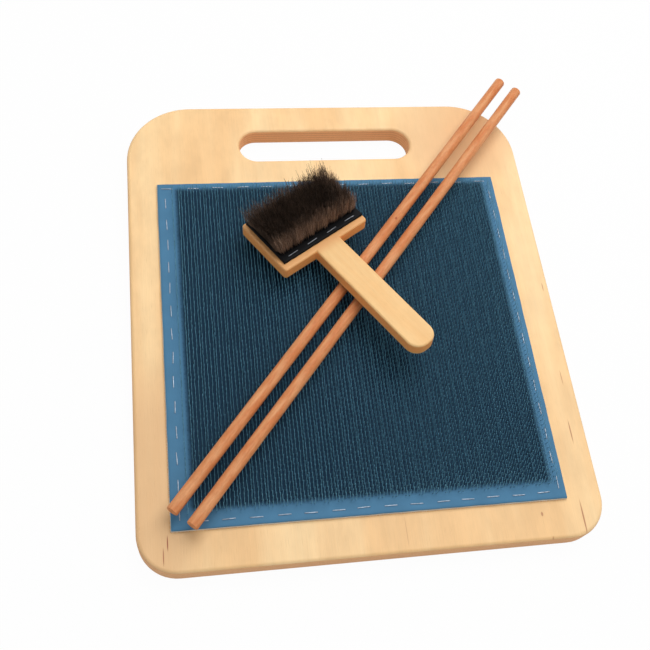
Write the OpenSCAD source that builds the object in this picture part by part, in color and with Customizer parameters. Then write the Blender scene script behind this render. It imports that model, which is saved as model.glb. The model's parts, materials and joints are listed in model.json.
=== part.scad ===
// Blending board: a plywood board faced with card cloth, a packing brush and two dowels.
// Millimetres, +Z up. The origin is the middle of the board's underside. +Y runs from the
// front edge, where the rolags are taken off, to the back edge with the hand slot.

/* [Board] */
// Width of the board, left to right
board_w = 359.4; // [330:0.1:420]
// Length of the board, front edge to back edge
board_l = 421.6; // [400:0.1:480]
// Thickness of the plywood
board_t = 18; // [12:0.5:25]
// Radius of the two front corners
front_corner_r = 31; // [20:1:60]
// Radius of the two back corners, beside the hand slot
back_corner_r = 57.5; // [30:0.5:90]
// Rounding along the board's edges
board_edge_r = 3; // [1:0.5:5]

/* [Hand slot] */
// Length of the hand slot, end to end
slot_l = 158.6; // [100:0.1:200]
// Width of the hand slot
slot_w = 32; // [24:1:36]
// Wood left between the slot and the back edge
slot_wall = 28.8; // [20:0.1:34]
// Rounding along the slot's edges
slot_edge_r = 3; // [1:0.5:5]

/* [Card cloth] */
// Width of the card cloth
cloth_w = 304.8; // [250:0.1:320]
// Length of the card cloth
cloth_l = 304.8; // [250:0.1:310]
// Bare wood in front of the cloth
cloth_front_margin = 30.2; // [20:0.1:40]
// How far the cloth lies to the right of the board's middle
cloth_x = -2.2; // [-3:0.1:3]
// Thickness of the canvas foundation
canvas_t = 1.8; // [1:0.1:3]
// Thickness of the rubber facing
facing_t = 1.2; // [0.6:0.1:2]

/* [Carding wires] */
// Height of the wire tips above the facing
wire_h = 9.5; // [7:0.5:12]
// Thickness of one wire, as drawn
wire_d = 1; // [0.6:0.1:1.4]
// Wires across the cloth, as drawn
wire_columns = 17; // [10:1:17]
// Wires along the cloth, as drawn
wire_rows = 17; // [10:1:17]
// Bare facing to the left of the wires
wire_left_margin = 13; // [10:0.1:20]
// Bare facing to the right of the wires
wire_right_margin = 7.4; // [7:0.1:20]
// Bare facing in front of the wires
wire_front_margin = 12.5; // [10:0.1:20]
// Bare facing behind the wires
wire_back_margin = 7.7; // [7:0.1:20]
// Height of the knee above the facing
wire_knee_h = 4.5; // [3:0.5:6]
// How far the knee lies towards the front
wire_knee_set = 1.2; // [0:0.1:2]
// How far the tip lies towards the back
wire_tip_set = 1.8; // [0:0.1:3]

/* [Staples] */
// Width of a staple's crown
staple_w = 10.5; // [8:0.5:13]
// Width of the flat staple wire
staple_wire = 0.9; // [0.7:0.1:1.6]
// Thickness of the flat staple wire
staple_t = 0.6; // [0.4:0.1:0.9]
// Length of a cloth staple's legs
staple_leg = 9; // [6:0.5:11]
// Staples along each edge of the cloth
staples_per_edge = 14; // [8:1:18]
// From the cloth's front edge to its staples
front_staple_inset = 5.8; // [4:0.1:8]
// From the cloth's back edge to its staples
back_staple_inset = 5.4; // [3:0.1:6]
// From the cloth's left edge to its staples
left_staple_inset = 7.2; // [4:0.1:8]
// From the cloth's right edge to its staples
right_staple_inset = 5.7; // [3:0.1:6]
// Bare ends of the front row of staples
front_row_end = 10.3; // [8:0.1:16]
// Bare ends of the back row of staples
back_row_end = 0.2; // [0:0.1:16]
// Bare ends of the side rows of staples
side_row_end = 6.3; // [6:0.1:8]
// How far the front row lies to the right and the back row to the left
row_shift = 2; // [0:0.1:3]
// How far the side rows lie towards the front
side_row_shift = 4.1; // [0:0.1:4.5]

/* [Dowels] */
// Diameter of a dowel
dowel_d = 9.5; // [8:0.5:13]
// Length of a dowel
dowel_l = 512; // [400:1:520]
// Space between the two dowels as they lie
dowel_spacing = 8.4; // [4:0.2:12]
// Turn of the dowels from the board's front edge, in degrees
dowel_turn = 50.2; // [46:0.1:54]
// Middle of the pair of dowels, left to right
dowel_x = 17.9; // [15:0.1:25]
// Middle of the pair of dowels, front to back
dowel_y = 21; // [16:0.1:26]

/* [Packing brush] */
// Width of the brush's head
head_w = 88; // [76:1:92]
// How far the head's middle lies beside the handle's
head_aside = 1.4; // [0:0.1:2]
// Depth of the brush's head, far edge to neck
head_d = 59.5; // [52:0.5:64]
// Thickness of the paddle
paddle_t = 12; // [8:0.5:14]
// Radius of the head's corners
head_corner_r = 3; // [2:0.5:8]
// Width of the handle
handle_w = 25; // [20:1:30]
// Length of the handle, neck to end
handle_l = 121; // [100:1:140]
// Radius of the corners at the handle's end
handle_end_r = 11; // [6:0.5:12]
// Rounding along the paddle's edges
paddle_edge_r = 1.8; // [0.5:0.1:2]
// Fillet in the corners of the neck
neck_fillet_r = 1.5; // [1:0.5:6]
// Where the handle's middle line meets the head's far edge, left to right
brush_x = -47.2; // [-60:0.1:-40]
// Where the handle's middle line meets the head's far edge, front to back
brush_y = 88.5; // [85:0.1:100]
// Direction in which the handle points, in degrees
brush_turn = -57.4; // [-62:0.1:-52]

/* [Bristles] */
// Thickness of the backing that holds the bristles
backing_t = 2.5; // [1.5:0.1:4]
// Bare wood beyond the backing
backing_far_margin = 1.6; // [1:0.1:4]
// Bare wood beside the backing, the mean of its two sides
backing_side_margin = 2.2; // [2:0.1:4]
// Bare wood between the backing and the neck
backing_neck_margin = 5.6; // [4:0.1:10]
// Bare backing at the ends of the bristles
bristle_end_margin = 2; // [2:0.5:6]
// Bare backing before and behind the bristles, where the staples go
bristle_side_margin = 6.5; // [5:0.5:8]
// Height of the bristles above the backing
bristle_h = 25.5; // [15:0.5:30]
// Thickness of a tuft at its foot, as drawn
tuft_d = 1.8; // [1:0.1:2]
// Tufts across the head, as drawn
tuft_columns = 18; // [10:1:18]
// Tufts along the head, as drawn
tuft_rows = 11; // [6:1:11]
// How far the tips of the tufts lie to the side of their feet
tuft_lean_side = 2.8; // [0:0.1:4]
// How far the tips of the tufts lie towards the head's far edge
tuft_lean_far = 1.7; // [0:0.1:4]
// How far the outermost tufts lean out across the head
tuft_splay_across = 0.6; // [0:0.1:5]
// How far the outermost tufts lean out along the head
tuft_splay_along = 2.5; // [0:0.1:5]
// Length of a brush staple's legs
brush_staple_leg = 7; // [4:0.5:9]
// From the backing's edge to the brush staples
brush_staple_inset = 3.2; // [1.2:0.1:4]
// Staples along each edge of the backing
brush_staples_per_edge = 4; // [3:1:5]

/* [Hidden] */
// Space left between pieces that only lie on each other
rest_gap = 0.3;
// Thickness of the slices of facing and backing that hold the wires and tufts
slice_t = 0.3;
// Cutters run this far past the faces that they cut
past = 1;
corner_facets = 96;
edge_facets = 24;

facing_z = board_t + canvas_t;
cloth_z = facing_z + facing_t;
tips_z = cloth_z + wire_h;
cloth_y = -board_l / 2 + cloth_front_margin + cloth_l / 2;
slot_y = board_l / 2 - slot_wall - slot_w / 2;

dowel_axis_z = tips_z + rest_gap + dowel_d / 2;
dowel_way = [cos(dowel_turn), sin(dowel_turn)];
dowel_side = [-sin(dowel_turn), cos(dowel_turn)];
dowel_offset = (dowel_d + dowel_spacing) / 2;
left_dowel = [dowel_x, dowel_y] + dowel_offset * dowel_side;
right_dowel = [dowel_x, dowel_y] - dowel_offset * dowel_side;

backing_w = head_w - 2 * backing_side_margin;
backing_d = head_d - backing_far_margin - backing_neck_margin;
backing_y = -head_d + backing_far_margin + backing_d / 2;
tufts_w = backing_w - 2 * bristle_end_margin;
tufts_d = backing_d - 2 * bristle_side_margin;

// The brush lies with the far edge of its head on the wire tips and its handle on a dowel.
far_edge = [brush_x, brush_y];
handle_way = [cos(brush_turn), sin(brush_turn)];
handle_side = [sin(brush_turn), -cos(brush_turn)];
far_edge_z = tips_z + rest_gap;

function cross2(a, b) = a[0] * b[1] - a[1] * b[0];

// Distance along the handle from the far edge to where an edge of the handle crosses a dowel
function reach_to(dowel, side) =
    cross2(dowel - far_edge - side * handle_w / 2 * handle_side, dowel_way) / cross2(handle_way, dowel_way);

// Tilt at which the underside clears a dowel crossed at that distance
function tilt_over(reach) =
    let (drop = dowel_axis_z - far_edge_z, clear = dowel_d / 2 + rest_gap)
    asin(clear / norm([drop, reach])) + atan2(drop, reach);

brush_tilt = max([
    for (dowel = [left_dowel, right_dowel], side = [-1, 1]) tilt_over(reach_to(dowel, side))
]);

// Half of a section with rounded outer corners, from the axis out to r
module soft_half_section(r, t, edge_r) {
    square([r - edge_r, t]);
    translate([0, edge_r]) square([r, t - 2 * edge_r]);
    for (y = [edge_r, t - edge_r]) {
        translate([r - edge_r, y]) circle(r = edge_r, $fn = edge_facets);
    }
}

module soft_disc(r, t, edge_r) {
    rotate_extrude($fn = corner_facets) intersection() {
        soft_half_section(r, t, edge_r);
        square([r, t]);
    }
}

// A bar along Y whose two long edges are rounded
module soft_bar(w, l, t, edge_r) {
    rotate([90, 0, 0]) linear_extrude(height = l, center = true) {
        soft_half_section(w / 2, t, edge_r);
        mirror([1, 0]) soft_half_section(w / 2, t, edge_r);
    }
}

// A plate with rounded corners and rounded edges, centred on the origin, underside at 0
module soft_plate(w, l, t, front_r, back_r, edge_r) {
    for (side = [-1, 1]) {
        translate([side * (w / 2 - front_r), -l / 2 + front_r, 0]) soft_disc(front_r, t, edge_r);
        translate([side * (w / 2 - back_r), l / 2 - back_r, 0]) soft_disc(back_r, t, edge_r);
    }
    translate([0, (front_r - back_r) / 2, 0]) soft_bar(w, l - front_r - back_r, t, edge_r);
    translate([0, -l / 2 + front_r, 0]) rotate([0, 0, 90]) soft_bar(2 * front_r, w - 2 * front_r, t, edge_r);
    translate([0, l / 2 - back_r, 0]) rotate([0, 0, 90]) soft_bar(2 * back_r, w - 2 * back_r, t, edge_r);
}

// Half of the slot's section: it flares out to both faces of the board
module flare_half_section(r, t, edge_r) {
    difference() {
        translate([0, -past]) square([r + edge_r, t + 2 * past]);
        translate([r, edge_r]) square([edge_r + past, t - 2 * edge_r]);
        for (y = [edge_r, t - edge_r]) {
            translate([r + edge_r, y]) circle(r = edge_r, $fn = edge_facets);
        }
    }
}

module slot_cutter(l, w, t, edge_r) {
    run = l - w;
    for (side = [-1, 1]) {
        translate([side * run / 2, 0, 0]) rotate_extrude($fn = corner_facets) flare_half_section(w / 2, t, edge_r);
    }
    rotate([90, 0, 90]) linear_extrude(height = run, center = true) {
        flare_half_section(w / 2, t, edge_r);
        mirror([1, 0]) flare_half_section(w / 2, t, edge_r);
    }
}

module board() {
    color("burlywood") difference() {
        soft_plate(board_w, board_l, board_t, front_corner_r, back_corner_r, board_edge_r);
        translate([0, slot_y, 0]) slot_cutter(slot_l, slot_w, board_t, slot_edge_r);
    }
}

module cloth_layer(z, t) {
    translate([cloth_x - cloth_w / 2, cloth_y - cloth_l / 2, z]) cube([cloth_w, cloth_l, t]);
}

module canvas_foundation() {
    color("wheat") cloth_layer(board_t, canvas_t);
}

module rubber_facing() {
    color("steelblue") cloth_layer(facing_z, facing_t);
}

// Strands stand on a slice of what holds them, one in each cell of a grid. A strand is a list of
// rings, [x, y, z, radius], from its foot on the slice to its tip. The whole is one closed skin.
module strand_bed(w, l, t, columns, rows, strands) {
    sides = 3;
    rings = len(strands[0]);
    wide = columns + 1;
    corners = wide * (rows + 1);
    feet = corners + 4;
    grid = [for (j = [0:rows], i = [0:columns]) [w * (i / columns - 0.5), l * (j / rows - 0.5), t]];
    base = [[-w / 2, -l / 2, 0], [w / 2, -l / 2, 0], [w / 2, l / 2, 0], [-w / 2, l / 2, 0]];
    skin = [
        for (strand = strands, ring = strand, k = [0:sides - 1])
            let (a = 90 + k * 360 / sides)
            [ring[0] + ring[3] * cos(a), ring[1] + ring[3] * sin(a), ring[2]]
    ];
    top = [
        for (j = [0:rows - 1], i = [0:columns - 1])
            let (
                p = j * wide + i,
                q = p + wide,
                foot = feet + (j * columns + i) * rings * sides
            )
            each [
                [p, p + 1, foot + 1], [p + 1, foot + 2, foot + 1],
                [p + 1, q + 1, foot + 2], [q + 1, foot, foot + 2],
                [q + 1, q, foot],
                [q, foot + 1, foot], [q, p, foot + 1]
            ]
    ];
    stems = [
        for (s = [0:columns * rows - 1], ring = [0:rings - 2], k = [0:sides - 1])
            let (
                low = feet + (s * rings + ring) * sides,
                next = (k + 1) % sides,
                high = low + sides
            )
            each [[low + k, low + next, high + next], [low + k, high + next, high + k]]
    ];
    tips = [
        for (s = [0:columns * rows - 1])
            let (last = feet + (s * rings + rings - 1) * sides)
            [last, last + 1, last + 2]
    ];
    rims = [
        [for (i = [0:columns]) i],
        [for (j = [0:rows]) j * wide + columns],
        [for (i = [0:columns]) rows * wide + columns - i],
        [for (j = [0:rows]) (rows - j) * wide]
    ];
    walls = [
        for (side = [0:3])
            let (rim = rims[side], low = corners + side, next = corners + (side + 1) % 4)
            each concat(
                [for (i = [0:len(rim) - 2]) [low, rim[i + 1], rim[i]]],
                [[low, next, rim[len(rim) - 1]]]
            )
    ];
    underside = [[corners, corners + 3, corners + 2], [corners, corners + 2, corners + 1]];
    faces = [for (face = concat(top, stems, tips, walls, underside)) [face[2], face[1], face[0]]];
    polyhedron(points = concat(grid, base, skin), faces = faces);
}

// A carding wire rises from the facing, leans to the front up to its knee and then to the back.
module carding_wires() {
    w = cloth_w - wire_left_margin - wire_right_margin;
    l = cloth_l - wire_front_margin - wire_back_margin;
    x = cloth_x + (wire_left_margin - wire_right_margin) / 2;
    y = cloth_y + (wire_front_margin - wire_back_margin) / 2;
    strands = [
        for (j = [0:wire_rows - 1], i = [0:wire_columns - 1])
            let (
                x0 = w * ((i + 0.5) / wire_columns - 0.5),
                y0 = l * ((j + 0.5) / wire_rows - 0.5)
            )
            [
                [x0, y0, slice_t, wire_d / 2],
                [x0, y0 - wire_knee_set, wire_knee_h, wire_d / 2],
                [x0, y0 + wire_tip_set, wire_h, wire_d / 4]
            ]
    ];
    color("silver") translate([x, y, cloth_z]) {
        strand_bed(w, l, slice_t, wire_columns, wire_rows, strands);
    }
}

// A staple with its crown along X, lying on z = 0, and its legs driven down
module staple(leg) {
    half = staple_w / 2;
    bend = staple_t * 0.6;
    rotate([90, 0, 0]) linear_extrude(height = staple_wire, center = true) polygon([
        [-half, staple_t - leg], [-half, staple_t - bend], [bend - half, staple_t],
        [half - bend, staple_t], [half, staple_t - bend], [half, staple_t - leg],
        [half - staple_t, -leg], [half - staple_t, 0], [staple_t - half, 0], [staple_t - half, -leg]
    ]);
}

// A row of staples along X, shared out evenly over a length
module staple_row(count, length, leg) {
    for (i = [0:count - 1]) {
        translate([length * ((i + 0.5) / count - 0.5), 0, 0]) staple(leg);
    }
}

// One edge's row: across is the cloth's size square to the edge, and along its size beside it
module cloth_staples(turn, across, along, inset, end, shift) {
    color("silver") translate([cloth_x, cloth_y, cloth_z]) rotate([0, 0, turn]) {
        translate([shift, inset - across / 2, 0]) staple_row(staples_per_edge, along - 2 * end, staple_leg);
    }
}

module staples_front() {
    cloth_staples(0, cloth_l, cloth_w, front_staple_inset, front_row_end, row_shift);
}

module staples_right() {
    cloth_staples(90, cloth_w, cloth_l, right_staple_inset, side_row_end, -side_row_shift);
}

module staples_back() {
    cloth_staples(180, cloth_l, cloth_w, back_staple_inset, back_row_end, row_shift);
}

module staples_left() {
    cloth_staples(270, cloth_w, cloth_l, left_staple_inset, side_row_end, side_row_shift);
}

// A dowel with eased ends
module dowel(middle) {
    ease = 0.5;
    r = dowel_d / 2;
    translate([middle[0], middle[1], dowel_axis_z]) rotate([0, 90, dowel_turn]) {
        rotate_extrude($fn = corner_facets) polygon([
            [0, -dowel_l / 2], [r - ease, -dowel_l / 2], [r, ease - dowel_l / 2],
            [r, dowel_l / 2 - ease], [r - ease, dowel_l / 2], [0, dowel_l / 2]
        ]);
    }
}

module dowel_left() {
    color("peru") dowel(left_dowel);
}

module dowel_right() {
    color("peru") dowel(right_dowel);
}

// The brush is drawn with its neck at the origin, its head towards -Y and its handle towards +Y.
module brush_place() {
    translate([brush_x, brush_y, far_edge_z]) rotate([0, 0, brush_turn - 90]) rotate([brush_tilt, 0, 0]) {
        translate([0, head_d, 0]) children();
    }
}

module neck_fillets() {
    for (side = [-1, 1]) scale([side, 1, 1]) {
        translate([handle_w / 2, 0, paddle_edge_r]) linear_extrude(height = paddle_t - 2 * paddle_edge_r) {
            difference() {
                translate([-past, -past]) square(neck_fillet_r + past);
                translate([neck_fillet_r, neck_fillet_r]) circle(r = neck_fillet_r, $fn = corner_facets);
            }
        }
    }
}

module brush_paddle() {
    tang = head_d / 2;
    color("burlywood") brush_place() {
        translate([head_aside, -head_d / 2, 0]) {
            soft_plate(head_w, head_d, paddle_t, head_corner_r, head_corner_r, paddle_edge_r);
        }
        translate([0, (handle_l - tang) / 2, 0]) {
            soft_plate(handle_w, handle_l + tang, paddle_t, head_corner_r, handle_end_r, paddle_edge_r);
        }
        neck_fillets();
    }
}

module brush_backing() {
    color("#202020") brush_place() {
        translate([-backing_w / 2, backing_y - backing_d / 2, paddle_t]) cube([backing_w, backing_d, backing_t]);
    }
}

// The tufts lean to one side together and spread evenly from their middle, so that none crosses
// another.
module brush_bristles() {
    strands = [
        for (j = [0:tuft_rows - 1], i = [0:tuft_columns - 1])
            let (
                across = 2 * (i + 0.5) / tuft_columns - 1,
                along = 2 * (j + 0.5) / tuft_rows - 1,
                x0 = across * tufts_w / 2,
                y0 = along * tufts_d / 2,
                lift = 1 - 0.02 * (across * across + along * along)
            )
            [
                [x0, y0, slice_t, tuft_d / 2],
                [
                    x0 + across * tuft_splay_across + tuft_lean_side,
                    y0 + along * tuft_splay_along - tuft_lean_far,
                    bristle_h * lift, tuft_d / 4
                ]
            ]
    ];
    color("#4a3c32") brush_place() translate([0, backing_y, paddle_t + backing_t]) {
        strand_bed(tufts_w, tufts_d, slice_t, tuft_columns, tuft_rows, strands);
    }
}

module brush_staple_row(side) {
    color("silver") brush_place() {
        translate([0, backing_y + side * (backing_d / 2 - brush_staple_inset), paddle_t + backing_t]) {
            staple_row(brush_staples_per_edge, tufts_w, brush_staple_leg);
        }
    }
}

module brush_staples_near() {
    brush_staple_row(1);
}

module brush_staples_far() {
    brush_staple_row(-1);
}

board();
canvas_foundation();
rubber_facing();
carding_wires();
staples_front();
staples_back();
staples_left();
staples_right();
dowel_left();
dowel_right();
brush_paddle();
brush_backing();
brush_bristles();
brush_staples_near();
brush_staples_far();
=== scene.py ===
import json
import math
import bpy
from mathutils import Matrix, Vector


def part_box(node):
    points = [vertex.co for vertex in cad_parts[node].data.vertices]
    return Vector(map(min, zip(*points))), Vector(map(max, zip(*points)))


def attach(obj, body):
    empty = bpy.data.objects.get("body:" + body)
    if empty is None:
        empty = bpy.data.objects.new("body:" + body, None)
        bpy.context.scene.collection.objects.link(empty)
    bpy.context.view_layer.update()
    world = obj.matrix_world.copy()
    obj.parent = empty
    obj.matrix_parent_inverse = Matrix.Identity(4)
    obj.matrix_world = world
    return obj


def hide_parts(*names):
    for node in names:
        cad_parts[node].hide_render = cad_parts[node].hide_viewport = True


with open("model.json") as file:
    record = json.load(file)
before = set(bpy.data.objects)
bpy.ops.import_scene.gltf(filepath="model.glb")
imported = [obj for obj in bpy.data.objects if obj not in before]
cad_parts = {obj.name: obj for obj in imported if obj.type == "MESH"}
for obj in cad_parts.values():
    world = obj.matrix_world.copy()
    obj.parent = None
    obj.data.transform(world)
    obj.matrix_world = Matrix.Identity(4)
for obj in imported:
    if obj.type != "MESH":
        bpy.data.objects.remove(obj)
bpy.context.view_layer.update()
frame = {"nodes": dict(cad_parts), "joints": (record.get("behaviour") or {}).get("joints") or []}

from types import SimpleNamespace

import bpy
import numpy as np
from bpy.props import FloatProperty, FloatVectorProperty, IntProperty, PointerProperty
from bpy.types import Operator, Panel, PropertyGroup
from mathutils import Matrix, Vector

bl_info = {
    "name": "Blending Board",
    "version": (1, 0, 0),
    "blender": (4, 5, 0),
    "location": "View3D > Sidebar > Blending Board",
    "description": "Dresses a blending board: plywood, card cloth, packing brush and dowels",
    "category": "Object",
}

MM = 0.001
moved = Matrix.Translation


def linear(value):
    """A picture's channel, from 0 to 255, turned into linear light."""
    value /= 255
    return value / 12.92 if value <= 0.04045 else ((value + 0.055) / 1.055) ** 2.4


def colour_of(name, description, red, green, blue):
    return FloatVectorProperty(
        name=name, description=description, default=[linear(channel) for channel in (red, green, blue)],
        subtype="COLOR", size=3, min=0, max=1)


def length_of(name, description, millimetres):
    return FloatProperty(
        name=name, description=description, default=millimetres * MM,
        subtype="DISTANCE", unit="LENGTH", precision=5)


def offset_of(name, description, x, y):
    return FloatVectorProperty(
        name=name, description=description, default=(x * MM, y * MM),
        size=2, subtype="XYZ_LENGTH", unit="LENGTH", precision=5)


def count_of(name, description, default):
    return IntProperty(name=name, description=description, default=default, min=1)


def amount_of(name, description, default):
    return FloatProperty(name=name, description=description, default=default, min=0)


# Where things are, read from the frame

def corners(node):
    """Every corner of a node's mesh, one row each."""
    mesh = frame["nodes"][node].data
    flat = np.empty(len(mesh.vertices) * 3)
    mesh.vertices.foreach_get("co", flat)
    return flat.reshape(-1, 3)


def box(node):
    """A node's lowest and highest corner."""
    return [Vector(corner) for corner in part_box(node)]


def middle(node):
    low, high = box(node)
    return (low + high) / 2


def dowel_place(node):
    """The dowel's own frame: the origin in its middle and X along it."""
    joint = next(j for j in frame["joints"] if j["child"] == node)
    along = Vector(joint["axis"]).normalized()
    up = Vector((0, 0, 1))
    return moved(middle(node)) @ Matrix((along, up.cross(along), up)).transposed().to_4x4()


def backing_place():
    """The brush's own frame and the backing's size: the origin is in the middle of the
    backing's top, X runs across the head, Y along the handle and Z up the bristles."""
    mesh = frame["nodes"]["brush_backing"].data
    normals = [polygon.normal.copy() for polygon in mesh.polygons]
    centre = Vector(corners("brush_backing").mean(axis=0))
    to_handle = middle("brush_paddle") - centre
    up = max(normals, key=lambda normal: normal.z)
    along = max(normals, key=lambda normal: normal.dot(to_handle.normalized()))
    across = along.cross(up)
    turn = Matrix((across, along, up)).transposed()
    local = (corners("brush_backing") - np.array(centre)) @ np.array(turn)
    size = Vector(local.max(axis=0) - local.min(axis=0))
    return moved(centre + up * size.z / 2) @ turn.to_4x4(), size


def paddle_thickness():
    """From the paddle's underside to the backing's, square to the head."""
    to_brush = np.array(BRUSH_PLACE.inverted())
    height = corners("brush_paddle") @ to_brush[2, :3] + to_brush[2, 3]
    return float(height.max() - height.min())


BRUSH_PLACE, BACKING_SIZE = backing_place()
PADDLE_T = paddle_thickness()
BOARD_TOP = box("board")[1].z
CLOTH_LOW, CLOTH_HIGH = box("rubber_facing")
CANVAS_LOW, CANVAS_HIGH = box("canvas_foundation")
CLOTH_MIDDLE = middle("rubber_facing")
CLOTH_W, CLOTH_L, FACING_T = (high - low for low, high in zip(CLOTH_LOW, CLOTH_HIGH))
CANVAS_T = CANVAS_HIGH.z - CANVAS_LOW.z


# Settings that a user may change

class WoodSettings(PropertyGroup):
    """Colours of the three woods."""
    board_pale: colour_of("Board, pale", "Pale bands of the board's face", 248, 213, 160)
    board_warm: colour_of("Board, warm", "Warm bands of the board's face", 240, 195, 138)
    board_brown: colour_of("Board, brown", "Browner parts of the board's face", 224, 179, 130)
    board_ply: colour_of("Board, plies", "Plies that show on the board's edge", 241, 185, 130)
    board_end: colour_of("Board, end grain", "Plies that show their end grain", 223, 163, 111)
    paddle_pale: colour_of("Brush, pale", "Pale grain of the brush", 239, 196, 135)
    paddle_warm: colour_of("Brush, warm", "Warm grain of the brush", 234, 184, 120)
    # Stain and painted shade from the bristles, on the wood round the backing
    paddle_head: colour_of("Brush, head", "Wood round the backing", 222, 156, 94)
    # Cut grain, with painted warm bounce light on the brush's sides
    paddle_edge: colour_of("Brush, edge", "Cut edges of the brush", 252, 172, 98)
    dowel_pale: colour_of("Dowel, pale", "Pale grain of the dowels", 220, 156, 107)
    dowel_warm: colour_of("Dowel, warm", "Warm grain of the dowels", 204, 124, 74)
    mark: colour_of("Marks", "Small knots and brown streaks", 146, 56, 22)


class ClothSettings(PropertyGroup):
    """The card cloth: its layers and its wires."""
    canvas: colour_of("Canvas", "Cotton of the foundation", 250, 244, 232)
    facing: colour_of("Facing", "Rubber facing", 75, 121, 153)
    # Painted shade: the rubber's colour where the wires stand, darker in place of their shadows
    facing_shade: colour_of("Facing among the wires", "Rubber between the wires", 20, 50, 71)
    # Painted reflection: steel tinted with the blue of the facing that it reflects
    wire: colour_of("Wire", "Carding wire", 127, 189, 214)
    wire_rows: count_of("Rows", "Rows of wire, front to back", 147)
    wire_pairs: count_of("Pairs", "Two-legged wires in a row", 27)
    row_gap: length_of("Row gap", "From one row to the next", 1.94)
    pair_pitch: length_of("Pitch", "From one pair to the next in a row", 10.42)
    crown: length_of("Crown", "From one leg of a pair to the other", 7.6)
    row_shift: length_of("Row shift", "How far every other row lies to the right", 5.6)
    left_margin: length_of("Left margin", "From the cloth's left edge to the first leg", 13.0)
    front_margin: length_of("Front margin", "From the cloth's front edge to the first row", 12.5)
    wire_width: length_of("Wire thickness", "Thickness of a wire at its foot", 0.44)
    tip_height: length_of("Tip height", "Height of the tips above the facing", 9.4)
    knee_height: length_of("Knee height", "Height of the knees above the facing", 4.5)
    knee_set: length_of("Knee set", "How far the knees lie to the front", 1.2)
    tip_set: length_of("Tip set", "How far the tips lie to the back", 1.8)
    threads: count_of("Threads", "Cut threads along each edge of the canvas", 330)


class StapleSettings(PropertyGroup):
    """The staples of the cloth and of the brush."""
    metal: colour_of("Metal", "Staple wire", 172, 184, 198)
    brush_metal: colour_of("Brush metal", "Staple wire in the brush", 168, 170, 176)
    width: length_of("Width", "Width of the crown", 10.5)
    wire: length_of("Wire width", "Width of the flat wire", 0.8)
    thickness: length_of("Thickness", "Thickness of the flat wire", 0.6)
    leg: length_of("Leg", "Length of a leg", 9)
    brush_wire: length_of("Brush wire", "Width of the flat wire in the brush", 0.6)
    brush_leg: length_of("Brush leg", "Length of a leg in the brush", 7)
    per_edge: count_of("Along the cloth", "Staples along each edge of the cloth", 14)
    per_brush_edge: count_of("Along the brush", "Staples along each edge of the backing", 4)


class BrushSettings(PropertyGroup):
    """The bristles and their backing."""
    backing: colour_of("Backing", "Rubber pad", 14, 14, 16)
    # Painted shade at the foot of the bristles
    root: colour_of("Bristle root", "Bristles at the foot", 20, 16, 13)
    shaft: colour_of("Bristle", "Bristles between foot and tip", 166, 136, 115)
    # Painted shade on the top of the block, away from its lit outer faces
    tip: colour_of("Bristle tip", "Bristles at the tip", 74, 59, 48)
    columns: count_of("Tuft columns", "Tufts across the head", 18)
    rows: count_of("Tuft rows", "Tufts along the head", 11)
    strands: count_of("Strands", "Bristles in a tuft", 64)
    height: length_of("Height", "Height of the bristles", 25)
    width: length_of("Bristle thickness", "Thickness of a bristle at its foot", 0.19)
    spread: length_of("Spread", "How far a tuft's bristles stand from its middle", 2.2)
    lean: offset_of("Lean", "How far the tips lie to the side and towards the handle", 2.8, -1.7)
    splay: offset_of("Splay", "How far the outermost tufts lean out across and along", 0.6, 2.5)
    fray: length_of("Fray", "How much further long bristles lean out at the far edge", 4.4)
    end_margin: length_of("End margin", "Bare backing at the ends of the bristles", 2)
    side_margin: length_of("Side margin", "Bare backing where the staples go", 6.5)


class StudioSettings(PropertyGroup):
    """The floor, the lights and the camera."""
    floor: colour_of("Floor", "Pale floor", 225, 225, 225)
    key: amount_of("Key light", "Watts of the soft light at the back right", 24)
    fill: amount_of("Fill", "Strength of the light from straight above", 0.29)
    low_fill: amount_of("Low fill", "Strength of the light from the horizon", 0.61)


class BoardSettings(PropertyGroup):
    """All of the settings."""
    wood: PointerProperty(type=WoodSettings, name="Wood")
    cloth: PointerProperty(type=ClothSettings, name="Card cloth")
    staples: PointerProperty(type=StapleSettings, name="Staples")
    brush: PointerProperty(type=BrushSettings, name="Brush")
    studio: PointerProperty(type=StudioSettings, name="Studio")


# Short ways to build node trees

def by_node(operation):
    """A method that works its sum out in a Math node."""
    return lambda *values: calc(operation, *values)


class Value:
    """A value in a node tree. A sum written with it becomes a Math node there."""

    def __init__(self, tree, socket):
        self.tree = tree
        self.socket = socket

    __add__ = __radd__ = by_node("ADD")
    __sub__ = by_node("SUBTRACT")
    __mul__ = by_node("MULTIPLY")
    __truediv__ = by_node("DIVIDE")
    __mod__ = by_node("MODULO")
    __pow__ = by_node("POWER")
    __abs__ = by_node("ABSOLUTE")

    def __rsub__(self, other):
        return calc("SUBTRACT", other, self)


def tree_of(*values):
    """The tree that holds these values, of which some may be plain numbers."""
    return next(value.tree for value in values if isinstance(value, Value))


def feed(tree, node, inputs):
    """Set or link a node's inputs by name or number."""
    for key, value in inputs.items():
        if isinstance(value, Value):
            tree.links.new(value.socket, node.inputs[key])
        else:
            node.inputs[key].default_value = value


def add(tree, kind, inputs=None, output=0, **settings):
    """Add a node with these inputs and properties, and return one of its outputs."""
    node = tree.nodes.new(kind)
    for key, value in settings.items():
        setattr(node, key, value)
    feed(tree, node, inputs or {})
    return Value(tree, node.outputs[output])


def calc(operation, *values):
    return add(tree_of(*values), "ShaderNodeMath", dict(enumerate(values)), operation=operation)


def vector_calc(operation, *values, output=0):
    inputs = dict(enumerate(values))
    return add(tree_of(*values), "ShaderNodeVectorMath", inputs, output, operation=operation)


def vector(x=0.0, y=0.0, z=0.0):
    return add(tree_of(x, y, z), "ShaderNodeCombineXYZ", {0: x, 1: y, 2: z})


def parts(whole):
    """The three numbers of a vector."""
    split = add(whole.tree, "ShaderNodeSeparateXYZ", {0: whole}).socket.node
    return [Value(whole.tree, socket) for socket in split.outputs]


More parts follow.
